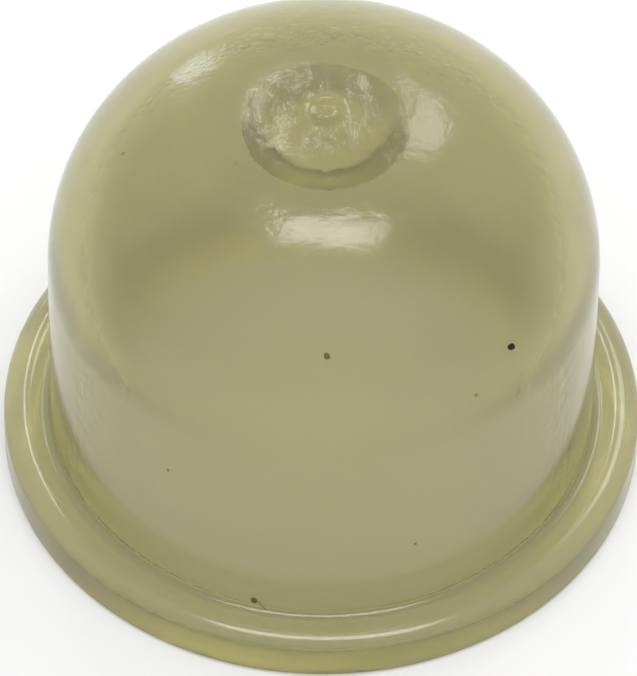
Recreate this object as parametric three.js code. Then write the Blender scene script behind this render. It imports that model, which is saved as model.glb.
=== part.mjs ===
// Primer bulb of a small two-stroke carburettor: one soft dome moulded in clear, yellowed elastomer.
// The thumb presses the crown, and the round flange at the foot is clamped down on a pump body.
// Millimetres. +Z is up, along the bulb's axis. The origin is the centre of the flat underside.

import * as THREE from 'three';

// Dome
const domeDiameter = 18.78;
const crownHeight = 16.5;
const crownFlatRadius = 1.84;
const wallThickness = 1.25;

// Flange at the foot: a round bead with a round-bottomed groove between it and the dome
const flangeWidth = 1.61;
const beadHeight = 1.62;
const rimAngle = 55;
const grooveAngle = 30;
const grooveRadius = 0.3;

// Rounded edges of the flat underside
const outerEdgeRadius = 0.15;
const mouthEdgeRadius = 0.2;

// Shallow round pad on the inside of the crown, with a sloping side
const padFaceRadius = 1.78;
const padSlopeWidth = 0.95;
const padDepth = 0.65;

// Moulding gate mark on the outside of the crown: a shallow dish with a nub left in its middle
const gateDishRadius = 0.62;
const gateDishDepth = 0.08;
const gateNubRadius = 0.2;
const gateNubHeight = 0.13;

// Facets round the axis, and the longest turn of one step along an arc of the section
const facetsRound = 64;
const stepDegrees = 11;

const domeRadius = domeDiameter / 2;
const flangeRadius = domeRadius + flangeWidth;
const boreRadius = domeRadius - wallThickness;
const padRadius = padFaceRadius + padSlopeWidth;

// The shoulder turns from the upright wall to the flat of the crown, inside and outside from one centre
const shoulderRadius = domeRadius - crownFlatRadius;
const innerShoulderRadius = shoulderRadius - wallThickness;
const shoulderHeight = crownHeight - shoulderRadius;
const ceilingHeight = crownHeight - wallThickness;

// The bead takes the width that the groove leaves, and meets both the groove and the rim at its angle
const sinOf = (degrees) => Math.sin(THREE.MathUtils.degToRad(degrees));
const cosOf = (degrees) => Math.cos(THREE.MathUtils.degToRad(degrees));
const grooveSpan = grooveRadius * (1 + sinOf(grooveAngle));
const beadRadius = (flangeWidth - grooveSpan) / (sinOf(rimAngle) + sinOf(grooveAngle));
const beadCentre = new THREE.Vector2(flangeRadius - beadRadius * sinOf(rimAngle), beadHeight - beadRadius);
const grooveCentre = new THREE.Vector2(
    domeRadius + grooveRadius,
    beadCentre.y + (beadRadius + grooveRadius) * cosOf(grooveAngle),
);

// Points of an arc, angles in degrees from the outward direction
function arc(centreX, centreY, radius, start, end) {
    const steps = Math.max(2, Math.ceil(Math.abs(end - start) / stepDegrees));
    const points = [];
    for (let i = 0; i <= steps; i += 1) {
        const angle = start + ((end - start) * i) / steps;
        points.push(new THREE.Vector2(centreX + radius * cosOf(angle), centreY + radius * sinOf(angle)));
    }
    return points;
}

// Gate mark, from the nub on the axis out to the lip of its dish
function gateOutline() {
    const dishHeight = crownHeight - gateDishDepth;
    return [
        new THREE.Vector2(0, dishHeight + gateNubHeight),
        new THREE.Vector2(gateNubRadius / 2, dishHeight + gateNubHeight),
        new THREE.Vector2(gateNubRadius, dishHeight),
        new THREE.Vector2(gateDishRadius, crownHeight),
    ];
}

// Outside of the dome, from the crown's flat over the shoulder, then the groove, bead and rim
function outerOutline() {
    return [
        ...arc(crownFlatRadius, shoulderHeight, shoulderRadius, 90, 0),
        ...arc(grooveCentre.x, grooveCentre.y, grooveRadius, 180, 270 + grooveAngle),
        ...arc(beadCentre.x, beadCentre.y, beadRadius, 90 + grooveAngle, 90 - rimAngle).slice(1),
        ...arc(flangeRadius - outerEdgeRadius, outerEdgeRadius, outerEdgeRadius, 0, -90),
    ];
}

// Inside, from the rounded mouth up the bore and over the inner shoulder to the edge of the pad
function innerOutline() {
    const padReach = Math.max(padRadius - crownFlatRadius, 0) / innerShoulderRadius;
    const padEdgeAngle = THREE.MathUtils.radToDeg(Math.acos(padReach));
    return [
        ...arc(boreRadius + mouthEdgeRadius, mouthEdgeRadius, mouthEdgeRadius, 270, 180),
        ...arc(crownFlatRadius, shoulderHeight, innerShoulderRadius, 0, padEdgeAngle),
    ];
}

// Pad under the crown, from the foot of its slope to the axis
function padOutline() {
    const faceHeight = ceilingHeight - padDepth;
    return [
        new THREE.Vector2(padFaceRadius, faceHeight),
        new THREE.Vector2(0, faceHeight),
    ];
}

// LatheGeometry turns about Y, so the solid is stood up on +Z afterwards
function bulbGeometry() {
    const outline = [...gateOutline(), ...outerOutline(), ...innerOutline(), ...padOutline()];
    const geometry = new THREE.LatheGeometry(outline.reverse(), facetsRound);
    geometry.rotateX(Math.PI / 2);
    return geometry;
}

const yellowedElastomer = new THREE.MeshStandardMaterial({
    color: 0xb5ae82,
    roughness: 0.3,
    metalness: 0,
    transparent: true,
    opacity: 0.75,
});

const primerBulb = new THREE.Mesh(bulbGeometry(), yellowedElastomer);
primerBulb.name = 'primer_bulb';

const part = new THREE.Group();
part.add(primerBulb);

export default part;
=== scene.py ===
"""Looks of a moulded primer bulb for a small carburettor.

Laid out as a Blender add-on and run as a script. Each operator makes one piece or the stage, and a panel in
the 3D view's sidebar lists them. Lengths are in metres, and +Z is up, along the bulb's axis.
"""

from math import acos, ceil, cos, degrees, pi, radians, sin
from random import Random

import bpy
from mathutils import Matrix, Vector, noise


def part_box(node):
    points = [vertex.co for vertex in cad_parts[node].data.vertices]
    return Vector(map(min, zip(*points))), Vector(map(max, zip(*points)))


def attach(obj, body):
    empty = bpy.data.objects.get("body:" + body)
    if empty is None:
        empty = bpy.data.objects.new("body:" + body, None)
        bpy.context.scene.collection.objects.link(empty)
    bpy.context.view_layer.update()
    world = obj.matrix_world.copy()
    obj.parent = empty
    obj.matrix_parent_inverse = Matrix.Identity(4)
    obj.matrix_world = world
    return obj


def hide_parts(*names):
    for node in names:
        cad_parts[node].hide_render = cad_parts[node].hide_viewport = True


bl_info = {
    "name": "Primer Bulb",
    "version": (1, 0, 0),
    "blender": (4, 5, 0),
    "location": "View3D > Sidebar > Primer Bulb",
    "description": "Builds a yellowed primer bulb, the dirt on it and a plain studio",
    "category": "Object",
}

MM = 0.001

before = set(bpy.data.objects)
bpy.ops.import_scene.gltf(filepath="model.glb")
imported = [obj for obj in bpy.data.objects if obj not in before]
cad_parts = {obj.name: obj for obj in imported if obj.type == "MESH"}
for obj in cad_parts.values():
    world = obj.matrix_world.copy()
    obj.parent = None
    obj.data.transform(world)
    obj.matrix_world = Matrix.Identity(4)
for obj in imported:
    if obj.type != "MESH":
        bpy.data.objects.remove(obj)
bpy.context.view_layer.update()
BULB_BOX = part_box("primer_bulb")

# Picture that the camera is framed for, in pixels, and Blender's default sensor on its long side
PICTURE_WIDTH = 637
PICTURE_HEIGHT = 676
SENSOR = 36.0


def linear(hex_colour):
    """sRGB hex value as linear red, green, blue and alpha."""
    channels = []
    for start in (1, 3, 5):
        value = int(hex_colour[start:start + 2], 16) / 255
        if value <= 0.04045:
            channels.append(value / 12.92)
        else:
            channels.append(((value + 0.055) / 1.055) ** 2.4)
    return (*channels, 1.0)


def length(name, description, millimetres):
    """Property for a length."""
    return bpy.props.FloatProperty(
        name=name, description=description, default=millimetres * MM, min=0.0, precision=5,
        unit="LENGTH", subtype="DISTANCE")


def colour(name, description, hex_colour):
    """Property for a colour."""
    return bpy.props.FloatVectorProperty(
        name=name, description=description, default=linear(hex_colour), size=4, min=0.0, max=1.0,
        subtype="COLOR")


def fraction(name, description, default):
    """Property for a share from 0 to 1."""
    return bpy.props.FloatProperty(
        name=name, description=description, default=default, min=0.0, max=1.0, subtype="FACTOR")


class BulbSizes(bpy.types.PropertyGroup):
    """Section of the bulb. Its width and height come from the CAD node."""

    flange_diameter: length(
        "Flange diameter", "Width of the bulb over its flange", (BULB_BOX[1].x - BULB_BOX[0].x) / MM)
    overall_height: length(
        "Overall height", "From the underside to the tip of the gate nub",
        (BULB_BOX[1].z - BULB_BOX[0].z) / MM)
    flange_width: length("Flange width", "From the dome's wall to the rim", 1.61)
    wall: length("Wall", "Thickness of the dome's wall", 1.25)
    crown_flat: length("Crown flat", "Radius of the flat top, where the shoulder starts", 1.84)
    bead_height: length("Bead height", "Height of the flange's round bead", 1.62)
    rim_angle: bpy.props.FloatProperty(
        name="Rim angle", description="Turn of the bead from its top to the rim", default=radians(55),
        subtype="ANGLE", unit="ROTATION")
    groove_angle: bpy.props.FloatProperty(
        name="Groove angle", description="Turn of the bead from its top into the groove", default=radians(30),
        subtype="ANGLE", unit="ROTATION")
    groove_radius: length("Groove radius", "Round bottom of the groove between bead and dome", 0.3)
    outer_edge: length("Outer edge", "Rounding of the rim's lower edge", 0.15)
    mouth_edge: length("Mouth edge", "Rounding of the open mouth", 0.2)
    pad_face: length("Pad face", "Radius of the pad's flat face under the crown", 1.78)
    pad_slope: length("Pad slope", "Width of the pad's sloping side", 0.95)
    pad_depth: length("Pad depth", "How far the pad stands down from the ceiling", 0.65)
    pad_corner: length("Pad corner", "Half the width of the rounding between the pad's face and slope", 0.4)
    dish_radius: length("Gate dish radius", "Shallow dish round the moulding gate", 0.62)
    dish_depth: length("Gate dish depth", "Depth of that dish", 0.08)
    nub_radius: length("Gate nub radius", "Nub that the gate left in its dish", 0.2)
    nub_height: length("Gate nub height", "Height of the nub over the dish's floor", 0.13)


class BulbFinish(bpy.types.PropertyGroup):
    """Colours and clarity of the yellowed polyurethane."""

    body: colour("Body", "Tint of the clear outside", "#e8e4d2")
    cloud: colour("Cloud", "Tint of the fainter clouds in it", "#dfdbc8")
    stain: colour("Stain", "Tint of the inside, which fuel has greyed", "#c8c5b3")
    depth: colour("Depth", "Colour that light takes on inside the wall", "#f2ee58")
    absorption: bpy.props.FloatProperty(
        name="Absorption", description="How fast the depth colour builds up, per metre", default=300.0,
        min=0.0)
    clarity: fraction("Clarity", "Share of the light that passes straight through", 0.9)
    gloss_outside: fraction("Roughness outside", "Blur of the glossy outside", 0.13)
    gloss_inside: fraction("Roughness inside", "Blur of the inside, which fuel has dulled", 0.28)
    pad_frost: fraction("Pad frost", "Blur that the pad under the crown adds", 0.5)
    ior: bpy.props.FloatProperty(
        name="IOR", description="Refractive index of polyurethane", default=1.46, min=1.0, max=2.0)
    cloud_size: length("Cloud size", "Width of a cloud", 3.0)
    grain_size: length("Grain size", "Width of the fine unevenness of the skin", 0.45)
    scuff_size: length("Scuff size", "Width of a scuff on the crown", 0.8)
    scuff_depth: fraction("Scuff depth", "Depth of the scuffs on the crown, as a share of 0.1 mm", 0.5)
    streak_width: length("Streak width", "Width of a drag mark on the inside", 0.3)
    streak_length: length("Streak length", "Length of a drag mark on the inside", 4.0)


class DirtFinish(bpy.types.PropertyGroup):
    """Colours of the dirt."""

    dark: colour("Dark dirt", "Oily black grit", "#2b2618")
    brown: colour("Brown dirt", "Dried mud", "#6d663c")
    faint: colour("Faint dirt", "Thin specks that the wall shows through", "#969066")


class StudioSettings(bpy.types.PropertyGroup):
    """Plain studio."""

    floor_shade: fraction("Floor shade", "Lightness of the floor for the light that falls on it", 0.65)
    floor_glow: fraction("Floor glow", "Light added where the floor is seen, so that it is white", 0.3)
    sky: fraction("Sky", "Strength of the even light from all round", 0.68)
    lamp_distance: length("Lamp distance", "From the bulb to each lamp", 350.0)


# Relief in the bulb's skin: its depth, and how much of that shows where it isn't a setting
GRAIN_RELIEF = 0.02 * MM
GRAIN_SHOWS = 0.18
DRAG_RELIEF = 0.03 * MM
DRAG_SHOWS = 0.08
SCUFF_RELIEF = 0.1 * MM

# Radius at which a drag mark has its width, and the heights between which thumbs press the crown
BORE_RADIUS = 8 * MM
PRESSED_FROM = 14.4 * MM
PRESSED_FULLY = 16.4 * MM

# How far red, green and blue light scatter in the wall, in millimetres
SCATTER_REACH = (2.5, 2.3, 1.2)

# Lumps of the crown: height, and in millimetres the width of the coarse and of the fine ones.
# They reach out to this many pad radii, and fade over the last of them.
LUMP_HEIGHT = 0.02 * MM
COARSE_LUMP = 1.1
FINE_LUMP = 0.5
LUMP_REACH = 1.9
LUMP_FADE = 0.9

# Segments round the bulb, and degrees from ring to ring over the shoulder, where the lumps need them close
SEGMENTS = 256
SHOULDER_STEP = 1.5

# Grains of dirt: seed of their shapes, half thickness, unevenness and how often it changes over a grain
DIRT_SEED = 11
GRAIN_THICKNESS = 0.03 * MM
GRAIN_UNEVENNESS = 0.35
GRAIN_CHANGES = 1.6

# Dirt on the outside: azimuth and height of the spot, its length, width and turn, and its kind.
# Azimuth in degrees from +X, lengths in millimetres, turn in degrees from upright.
DIRT_SPOTS = (
    (-44.7, 11.76, 0.36, 0.24, 60, "dark"),
    (-88.9, 13.25, 0.26, 0.20, 20, "brown"),
    (-103.4, 1.73, 0.28, 0.24, 10, "brown"),
    (-101.7, 1.60, 0.50, 0.06, 50, "faint"),
    (-24.9, 3.93, 0.30, 0.22, 0, "faint"),
    (-69.8, 4.49, 0.15, 0.12, 0, "faint"),
    (-55.8, 10.84, 0.18, 0.14, 30, "faint"),
    (-123.0, 7.04, 0.16, 0.12, 0, "faint"),
    (-176.4, 14.64, 0.20, 0.14, 0, "faint"),
    (-142.9, 16.26, 0.16, 0.12, 0, "faint"),
)

# Floor: width, and a hair's gap that keeps it out of the bulb's underside
FLOOR_WIDTH = 4.0
FLOOR_GAP = 0.02 * MM

# Height on the bulb that the lamps face
AIM_HEIGHT = 10 * MM

# Lamps: name, direction from the bulb, width and height in metres, watts, colour and turn in degrees
LAMPS = (
    ("ceiling_panel", (0.02, -0.12, 0.99), 0.21, 0.09, 0.48, "#ffffff", -15),
    ("side_panel", (0.33, 0.62, 0.711), 0.09, 0.11, 0.14, "#ffffff", 25),
    ("left_panel", (-0.10, 0.65, 0.75), 0.035, 0.05, 0.045, "#ffffff", -20),
    ("window", (-0.41, 0.88, 0.2), 0.06, 0.09, 0.06, "#dce8ff", 0),
)


def add_node(tree, kind, settings=None, links=None):
    """Adds a node. Settings are attributes by name or sockets by number or name, links feed sockets."""
    node = tree.nodes.new(kind)
    for key, value in (settings or {}).items():
        if isinstance(key, str) and hasattr(node, key):
            setattr(node, key, value)
        else:
            node.inputs[key].default_value = value
    for key, source in (links or {}).items():
        tree.links.new(source, node.inputs[key])
    return node


def new_material(name):
    """Empty node material with its tree and output node."""
    material = bpy.data.materials.new(name)
    material.use_nodes = True
    material.node_tree.nodes.clear()
    output = material.node_tree.nodes.new("ShaderNodeOutputMaterial")
    return material, material.node_tree, output


def drag_marks(tree, place, inside, relief, finish):
    """Normal with the drag marks that run up the inside, where the bulb was peeled off its core.

    They are narrow round the wall and long up it, so the pattern lies on the unrolled wall.
    """
    parts = add_node(tree, "ShaderNodeSeparateXYZ", links={"Vector": place})
    behind = add_node(tree, "ShaderNodeMath", {"operation": "MULTIPLY", 1: -1.0}, {0: parts.outputs["Y"]})
    turn = add_node(tree, "ShaderNodeMath", {"operation": "ARCTAN2"},
                    {0: parts.outputs["X"], 1: behind.outputs[0]})
    across = add_node(tree, "ShaderNodeMath",
                      {"operation": "MULTIPLY", 1: BORE_RADIUS / finish.streak_width}, {0: turn.outputs[0]})
    along = add_node(tree, "ShaderNodeMath",
                     {"operation": "MULTIPLY", 1: 1 / finish.streak_length}, {0: parts.outputs["Z"]})
    unrolled = add_node(tree, "ShaderNodeCombineXYZ",
                        links={"X": across.outputs[0], "Y": along.outputs[0]})
    streaks = add_node(tree, "ShaderNodeTexNoise", {"Scale": 1.0, "Detail": 1.0},
                       {"Vector": unrolled.outputs[0]})
    dragged = add_node(tree, "ShaderNodeMath", {"operation": "MULTIPLY"},
                       {0: streaks.outputs["Fac"], 1: inside})
    marks = add_node(tree, "ShaderNodeBump", {"Strength": DRAG_SHOWS, "Distance": DRAG_RELIEF},
                     {"Height": dragged.outputs[0], "Normal": relief})
    return marks.outputs["Normal"]


def thumb_scuffs(tree, place, inside, pressed, relief, finish):
    """Normal with the scuffs of thumbs on the outside of the crown, which break up reflections there."""
    dents = add_node(tree, "ShaderNodeTexNoise",
                     {"Scale": 1 / finish.scuff_size, "Detail": 4.0, "Roughness": 0.6}, {"Vector": place})
    outside = add_node(tree, "ShaderNodeMath", {"operation": "SUBTRACT", 0: 1.0}, {1: inside})
    touched = add_node(tree, "ShaderNodeMath", {"operation": "MULTIPLY"},
                       {0: pressed, 1: outside.outputs[0]})
    rubbed = add_node(tree, "ShaderNodeMath", {"operation": "MULTIPLY"},
                      {0: dents.outputs["Fac"], 1: touched.outputs[0]})
    scuffs = add_node(tree, "ShaderNodeBump", {"Strength": finish.scuff_depth, "Distance": SCUFF_RELIEF},
                      {"Height": rubbed.outputs[0], "Normal": relief})
    return scuffs.outputs["Normal"]


def blur(tree, inside, pressed, finish):
    """Roughness: a glossy outside, an inside that fuel has dulled, and a pad that is duller still.

    The pad was cast against the blasted end of the core.
    """
    dulled = add_node(tree, "ShaderNodeMapRange",
                      {"To Min": finish.gloss_outside, "To Max": finish.gloss_inside}, {"Value": inside})
    cast = add_node(tree, "ShaderNodeMath", {"operation": "MULTIPLY"}, {0: pressed, 1: inside})
    frosted = add_node(tree, "ShaderNodeMath", {"operation": "MULTIPLY_ADD", 1: finish.pad_frost},
                       {0: cast.outputs[0], 2: dulled.outputs[0]})
    return frosted.outputs[0]


def moulded_polyurethane(finish):
    """Clear polyurethane elastomer, injection moulded between polished tools and yellowed with age.

    The eye gets a soft gloss over a faintly milky wall, which shows what is behind it through a haze,
    and a deeper yellow wherever the light has a longer way through it, as in the flange.
    """
    material, tree, output = new_material("yellowed_moulded_polyurethane")
    place = add_node(tree, "ShaderNodeTexCoord").outputs["Object"]
    inside = add_node(tree, "ShaderNodeAttribute", {"attribute_name": "inside"}).outputs["Fac"]
    parts = add_node(tree, "ShaderNodeSeparateXYZ", links={"Vector": place})
    pressed = add_node(
        tree, "ShaderNodeMapRange",
        {"interpolation_type": "SMOOTHSTEP", "From Min": PRESSED_FROM, "From Max": PRESSED_FULLY},
        {"Value": parts.outputs["Z"]}).outputs[0]

    clouds = add_node(tree, "ShaderNodeTexNoise", {"Scale": 1 / finish.cloud_size, "Detail": 3.0},
                      {"Vector": place})
    body = add_node(tree, "ShaderNodeMix", {"data_type": "RGBA", 6: finish.body, 7: finish.cloud},
                    {"Factor": clouds.outputs["Fac"]})
    tint = add_node(tree, "ShaderNodeMix", {"data_type": "RGBA", 7: finish.stain},
                    {"Factor": inside, 6: body.outputs[2]})

    grain = add_node(tree, "ShaderNodeTexNoise", {"Scale": 1 / finish.grain_size, "Detail": 2.0},
                     {"Vector": place})
    relief = add_node(tree, "ShaderNodeBump", {"Strength": GRAIN_SHOWS, "Distance": GRAIN_RELIEF},
                      {"Height": grain.outputs["Fac"]}).outputs["Normal"]
    relief = drag_marks(tree, place, inside, relief, finish)
    relief = thumb_scuffs(tree, place, inside, pressed, relief, finish)

    shader = add_node(
        tree, "ShaderNodeBsdfPrincipled",
        {"IOR": finish.ior, "Transmission Weight": finish.clarity,
         "Subsurface Weight": 1.0, "Subsurface Radius": SCATTER_REACH, "Subsurface Scale": MM},
        {"Base Color": tint.outputs[2], "Roughness": blur(tree, inside, pressed, finish), "Normal": relief})
    depth = add_node(tree, "ShaderNodeVolumeAbsorption",
                     {"Color": finish.depth, "Density": finish.absorption})
    tree.links.new(shader.outputs["BSDF"], output.inputs["Surface"])
    tree.links.new(depth.outputs["Volume"], output.inputs["Volume"])
    return material


def dried_dirt(name, tint):
    """Specks of dried mud and oily grit, rough and without gloss, as they settle out of fuel and dust."""
    material, tree, output = new_material(name)
    shader = add_node(tree, "ShaderNodeBsdfPrincipled",
                      {"Base Color": tint, "Roughness": 0.85, "Specular IOR Level": 0.2})
    tree.links.new(shader.outputs["BSDF"], output.inputs["Surface"])
    return material


def pale_floor(settings):
    """Matt white board. It keeps the bulb's shadow, and its added glow makes it white where it is seen."""
    material, tree, output = new_material("matt_white_board")
    path = add_node(tree, "ShaderNodeLightPath")
    seen = path.outputs["Is Camera Ray"]
    for ray in ("Is Transmission Ray", "Is Glossy Ray"):
        seen = add_node(tree, "ShaderNodeMath", {"operation": "MAXIMUM"},
                        {0: seen, 1: path.outputs[ray]}).outputs[0]
    glow = add_node(tree, "ShaderNodeMath", {"operation": "MULTIPLY", 1: settings.floor_glow}, {0: seen})
    shader = add_node(
        tree, "ShaderNodeBsdfPrincipled",
        {"Base Color": (*[settings.floor_shade] * 3, 1.0), "Roughness": 1.0, "Specular IOR Level": 0.0,
         "Emission Color": (1.0, 1.0, 1.0, 1.0)},
        {"Emission Strength": glow.outputs[0]})
    tree.links.new(shader.outputs["BSDF"], output.inputs["Surface"])
    return material


def arc(centre, radius, start, end, step=3.0):
    """Points of an arc in the section, angles in degrees from the outward direction."""
    count = max(2, ceil(abs(end - start) / step))
    angles = [radians(start + (end - start) * i / count) for i in range(count + 1)]
    return [(centre[0] + radius * cos(a), centre[1] + radius * sin(a)) for a in angles]


def run(start, end, step=0.16 * MM):
    """Points of a straight line in the section after its start, close enough for the crown's lumps."""
    count = ceil(Vector((end[0] - start[0], end[1] - start[1])).length / step)
    return [(start[0] + (end[0] - start[0]) * i / count, start[1] + (end[1] - start[1]) * i / count)
            for i in range(1, count + 1)]


def bulb_section(sizes):
    """Closed section of the bulb, from the axis over the outside, round the mouth and back inside."""
    dome = sizes.flange_diameter / 2 - sizes.flange_width
    rim = sizes.flange_diameter / 2
    crown = sizes.overall_height - sizes.nub_height + sizes.dish_depth
    shoulder = dome - sizes.crown_flat
    inner = shoulder - sizes.wall
    spring = crown - shoulder
    span = sizes.groove_radius * (1 + sin(sizes.groove_angle))
    bead = (sizes.flange_width - span) / (sin(sizes.rim_angle) + sin(sizes.groove_angle))
    bead_at = (rim - bead * sin(sizes.rim_angle), sizes.bead_height - bead)
    groove_at = (dome + sizes.groove_radius,
                 bead_at[1] + (bead + sizes.groove_radius) * cos(sizes.groove_angle))
    groove_turn = degrees(sizes.groove_angle)
    rim_turn = degrees(sizes.rim_angle)
    bore = dome - sizes.wall
    face = crown - sizes.wall - sizes.pad_depth
    pad_foot = sizes.pad_face + sizes.pad_slope
    pad_turn = degrees(acos((pad_foot - sizes.crown_flat) / inner))
    dish = crown - sizes.dish_depth
    soft = sizes.pad_corner

    points = [(0.0, dish + sizes.nub_height),
              (sizes.nub_radius * 0.5, dish + sizes.nub_height * 0.9),
              (sizes.nub_radius, dish), (sizes.dish_radius * 0.75, dish),
              (sizes.dish_radius * 0.95, crown - sizes.dish_depth * 0.3), (sizes.dish_radius * 1.05, crown)]
    points += run(points[-1], (sizes.crown_flat, crown))
    points += arc((sizes.crown_flat, spring), shoulder, 90, 0, SHOULDER_STEP)[1:]
    points += arc(groove_at, sizes.groove_radius, 180, 270 + groove_turn, 8)
    points += arc(bead_at, bead, 90 + groove_turn, 90 - rim_turn, 6)[1:]
    points += arc((rim - sizes.outer_edge, sizes.outer_edge), sizes.outer_edge, 0, -90, 15)
    points += arc((bore + sizes.mouth_edge, sizes.mouth_edge), sizes.mouth_edge, 270, 180, 15)
    points += arc((sizes.crown_flat, spring), inner, 0, pad_turn, SHOULDER_STEP)
    slope = sizes.pad_depth / sizes.pad_slope
    for reach in (1.0, 0.6, 0.2, -0.2, -0.6, -1.0):
        points.append((sizes.pad_face + soft * reach, face + slope * soft * (1 + reach) ** 2 / 4))
    points += run(points[-1], (0.0, face))
    return points


def turned_mesh(name, section, segments):
    """Mesh of a section turned once round the axis."""
    points, rings = [], []
    for radius, height in section:
        if radius == 0.0:
            rings.append([len(points)] * segments)
            points.append((0.0, 0.0, height))
            continue
        rings.append(range(len(points), len(points) + segments))
        points += [(radius * cos(2 * pi * k / segments), radius * sin(2 * pi * k / segments), height)
                   for k in range(segments)]
    faces = []
    for upper, lower in zip(rings, rings[1:]):
        for k in range(segments):
            j = (k + 1) % segments
            corners = (upper[k], lower[k], lower[j], upper[j])
            faces.append(tuple(dict.fromkeys(corners)))
    mesh = bpy.data.meshes.new(name)
    mesh.from_pydata(points, [], faces)
    mesh.validate()
    mesh.update()
    return mesh


def add_object(name, mesh, *materials):
    """Object for a mesh, linked to the scene."""
    made = bpy.data.objects.new(name, mesh)
    bpy.context.scene.collection.objects.link(made)
    for material in materials:
        mesh.materials.append(material)
    return made


def smooth(mesh, edge_angle=35):
    """Smooth shading with sharp lines where the faces turn more than the angle."""
    mesh.polygons.foreach_set("use_smooth", [True] * len(mesh.polygons))
    mesh.set_sharp_from_angle(angle=radians(edge_angle))


def outside_at(sizes, azimuth, height):
    """Point and outward normal on the outside of the dome, groove or bead."""
    section = bulb_section(sizes)
    outside = section[:section.index(min(section, key=lambda p: p[1]))]
    for (r1, z1), (r2, z2) in zip(outside, outside[1:]):
        if z2 <= height <= z1 and z1 > z2:
            share = (z1 - height) / (z1 - z2)
            radius = r1 + (r2 - r1) * share
            along = Vector((r2 - r1, 0.0, z2 - z1)).normalized()
            turn = Matrix.Rotation(azimuth, 3, "Z")
            return turn @ Vector((radius, 0.0, height)), turn @ Vector((-along.z, 0.0, along.x))
    raise ValueError(f"no outside at height {height}")


def mark_inside(mesh, sizes):
    """Attribute that is 1 on the inside and 0 outside."""
    middle = sizes.flange_diameter / 2 - sizes.flange_width - sizes.wall / 2
    shoulder = middle - sizes.crown_flat
    spring = sizes.overall_height - sizes.nub_height + sizes.dish_depth - sizes.wall / 2 - shoulder
    marks = mesh.attributes.new("inside", "FLOAT", "POINT")
    for vertex, mark in zip(mesh.vertices, marks.data):
        radius = vertex.co.xy.length
        over = vertex.co.z - spring
        if over > 0:
            inner = Vector((max(radius - sizes.crown_flat, 0.0), over)).length < shoulder
        else:
            inner = radius < middle
        mark.value = float(inner)


def uneven_crown(mesh, sizes):
    """Lumps round the gate, where the last of the material set unevenly, on both faces of the crown."""
    reach = sizes.pad_face + sizes.pad_slope
    floor_height = sizes.overall_height - sizes.wall - sizes.pad_depth - sizes.dish_depth - 0.5 * MM
    for vertex in mesh.vertices:
        radius = vertex.co.xy.length
        if vertex.co.z < floor_height or radius > LUMP_REACH * reach:
            continue
        fade = min(1.0, (LUMP_REACH * reach - radius) / (LUMP_FADE * reach))
        place = vertex.co / MM
        lump = noise.noise(place / COARSE_LUMP) + 0.5 * noise.noise(place / FINE_LUMP)
        vertex.co.z += LUMP_HEIGHT * fade * lump


class PRIMER_OT_bulb(bpy.types.Operator):
    """Make the moulded bulb"""

    bl_idname = "primer.bulb"
    bl_label = "Moulded bulb"

    def execute(self, context):
        sizes = context.scene.primer_sizes
        mesh = turned_mesh("moulded_bulb", bulb_section(sizes), SEGMENTS)
        mark_inside(mesh, sizes)
        uneven_crown(mesh, sizes)
        smooth(mesh)
        bulb = add_object("moulded_bulb", mesh, moulded_polyurethane(context.scene.primer_finish))
        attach(bulb, "root")
        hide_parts("primer_bulb")
        return {"FINISHED"}


class PRIMER_OT_dirt(bpy.types.Operator):
    """Set specks of dirt on the outside of the bulb"""

    bl_idname = "primer.dirt"
    bl_label = "Specks of dirt"

    def execute(self, context):
        sizes = context.scene.primer_sizes
        finish = context.scene.primer_dirt
        chance = Random(DIRT_SEED)
        for number, spot in enumerate(DIRT_SPOTS, 1):
            azimuth, height, long, wide, turn, kind = spot
            place, normal = outside_at(sizes, radians(azimuth), height * MM)
            mesh = grain_mesh(f"dirt_{number}", long * MM / 2, wide * MM / 2, chance)
            smooth(mesh)
            dirt = dried_dirt(f"dried_{kind}_dirt", getattr(finish, kind))
            grain = add_object(f"dirt_{number}", mesh, dirt)
            grain.matrix_world = standing_on(place, normal, radians(turn))
            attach(grain, "root")
        return {"FINISHED"}


def standing_on(place, normal, turn):
    """Matrix that lays an object's XY plane on a surface, its Y axis up the surface, then turned."""
    across = Vector((0.0, 0.0, 1.0)).cross(normal).normalized()
    upward = normal.cross(across)
    base = Matrix((across, upward, normal)).transposed().to_4x4()
    base.translation = place
    return base @ Matrix.Rotation(turn, 4, "Z")


def grain_mesh(name, half_length, half_width, chance):
    """Flattened lumpy grain, sunk by half in the surface that it lies on."""
    rings, sectors = 6, 12
    seed = Vector((chance.random(), chance.random(), chance.random())) * 50
    section = [(sin(pi * i / rings), cos(pi * i / rings)) for i in range(rings + 1)]
    section[0], section[-1] = (0.0, 1.0), (0.0, -1.0)
    mesh = turned_mesh(name, section, sectors)
    for vertex in mesh.vertices:
        swell = 1 + GRAIN_UNEVENNESS * noise.noise(vertex.co * GRAIN_CHANGES + seed)
        flat = Vector((vertex.co.x * half_width, vertex.co.y * half_length, vertex.co.z * GRAIN_THICKNESS))
        vertex.co = flat * swell
    return mesh


class PRIMER_OT_studio(bpy.types.Operator):
    """Lay the floor and hang the lamps"""

    bl_idname = "primer.studio"
    bl_label = "Floor and lamps"

    def execute(self, context):
        settings = context.scene.primer_studio
        half = FLOOR_WIDTH / 2
        corners = [(-half, -half, 0), (half, -half, 0), (half, half, 0), (-half, half, 0)]
        mesh = bpy.data.meshes.new("floor")
        mesh.from_pydata(corners, [], [(0, 1, 2, 3)])
        floor = add_object("floor", mesh, pale_floor(settings))
        floor.location.z = -FLOOR_GAP
        for lamp in LAMPS:
            hang_lamp(settings.lamp_distance, *lamp)
        world = bpy.data.worlds.new("even_light")
        world.use_nodes = True
        background = world.node_tree.nodes["Background"]
        background.inputs["Strength"].default_value = settings.sky
        background.inputs["Color"].default_value = (1.0, 1.0, 1.0, 1.0)
        context.scene.world = world
        context.scene.view_settings.view_transform = "Standard"
        return {"FINISHED"}


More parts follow.
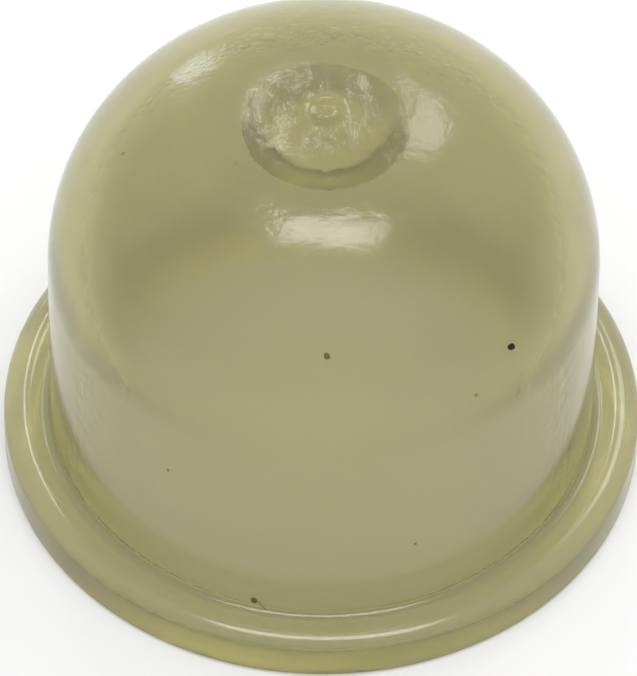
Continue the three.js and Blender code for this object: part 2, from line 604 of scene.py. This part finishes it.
def hang_lamp(distance, name, direction, width, height, watts, tint, turn):
    """Rectangular lamp that faces the middle of the bulb."""
    toward = Vector(direction).normalized()
    lamp = bpy.data.lights.new(name, "AREA")
    lamp.shape = "RECTANGLE"
    lamp.size = width
    lamp.size_y = height
    lamp.energy = watts
    lamp.color = linear(tint)[:3]
    holder = bpy.data.objects.new(name, lamp)
    aim = (-toward).to_track_quat("-Z", "Y").to_matrix().to_4x4()
    place = Matrix.Translation(toward * distance + Vector((0, 0, AIM_HEIGHT)))
    holder.matrix_world = place @ aim @ Matrix.Rotation(radians(turn), 4, "Z")
    bpy.context.scene.collection.objects.link(holder)


class PRIMER_OT_camera(bpy.types.Operator):
    """Set the camera"""

    bl_idname = "primer.camera"
    bl_label = "Camera"

    def execute(self, context):
        elevation = radians(49.87)
        roll = radians(0.96)
        distance = 300 * MM
        pixels_per_metre = 28.731 / MM
        foot = (321.0, 428.5)
        place = Vector((0.0, -distance * cos(elevation), distance * sin(elevation)))
        level = Vector((1.0, 0.0, 0.0))
        upward = Vector((0.0, sin(elevation), cos(elevation)))
        across = cos(roll) * level + sin(roll) * upward
        upright = cos(roll) * upward - sin(roll) * level
        target = across * ((PICTURE_WIDTH / 2 - foot[0]) / pixels_per_metre)
        target += upright * ((foot[1] - PICTURE_HEIGHT / 2) / pixels_per_metre)
        ahead = (target - place).normalized()
        x_axis = (across - ahead * across.dot(ahead)).normalized()
        y_axis = (-ahead).cross(x_axis)
        camera = bpy.data.cameras.new("camera")
        camera.lens = pixels_per_metre * distance * SENSOR / PICTURE_HEIGHT
        camera.clip_start = 10 * MM
        holder = bpy.data.objects.new("camera", camera)
        facing = Matrix((x_axis, y_axis, -ahead)).transposed().to_4x4()
        holder.matrix_world = Matrix.Translation(place) @ facing
        context.scene.collection.objects.link(holder)
        context.scene.camera = holder
        return {"FINISHED"}


class PRIMER_PT_sidebar(bpy.types.Panel):
    """Lists the pieces and their sizes and colours."""

    bl_idname = "PRIMER_PT_sidebar"
    bl_label = "Primer Bulb"
    bl_space_type = "VIEW_3D"
    bl_region_type = "UI"
    bl_category = "Primer Bulb"

    def draw(self, context):
        layout = self.layout
        for operator in OPERATORS:
            layout.operator(operator.bl_idname)
        for name in GROUPS:
            box = layout.box()
            group = getattr(context.scene, name)
            for field in group.bl_rna.properties:
                if field.identifier not in ("name", "rna_type"):
                    box.prop(group, field.identifier)


OPERATORS = (PRIMER_OT_camera, PRIMER_OT_bulb, PRIMER_OT_dirt, PRIMER_OT_studio)
GROUPS = {
    "primer_sizes": BulbSizes,
    "primer_finish": BulbFinish,
    "primer_dirt": DirtFinish,
    "primer_studio": StudioSettings,
}
CLASSES = (*GROUPS.values(), *OPERATORS, PRIMER_PT_sidebar)


def register():
    for cls in CLASSES:
        bpy.utils.register_class(cls)
    for name, group in GROUPS.items():
        setattr(bpy.types.Scene, name, bpy.props.PointerProperty(type=group))


def unregister():
    for name in GROUPS:
        delattr(bpy.types.Scene, name)
    for cls in reversed(CLASSES):
        bpy.utils.unregister_class(cls)


def main():
    """Makes everything in order."""
    register()
    bpy.ops.primer.camera()
    bpy.ops.primer.bulb()
    bpy.ops.primer.dirt()
    bpy.ops.primer.studio()


if __name__ == "__main__":
    main()
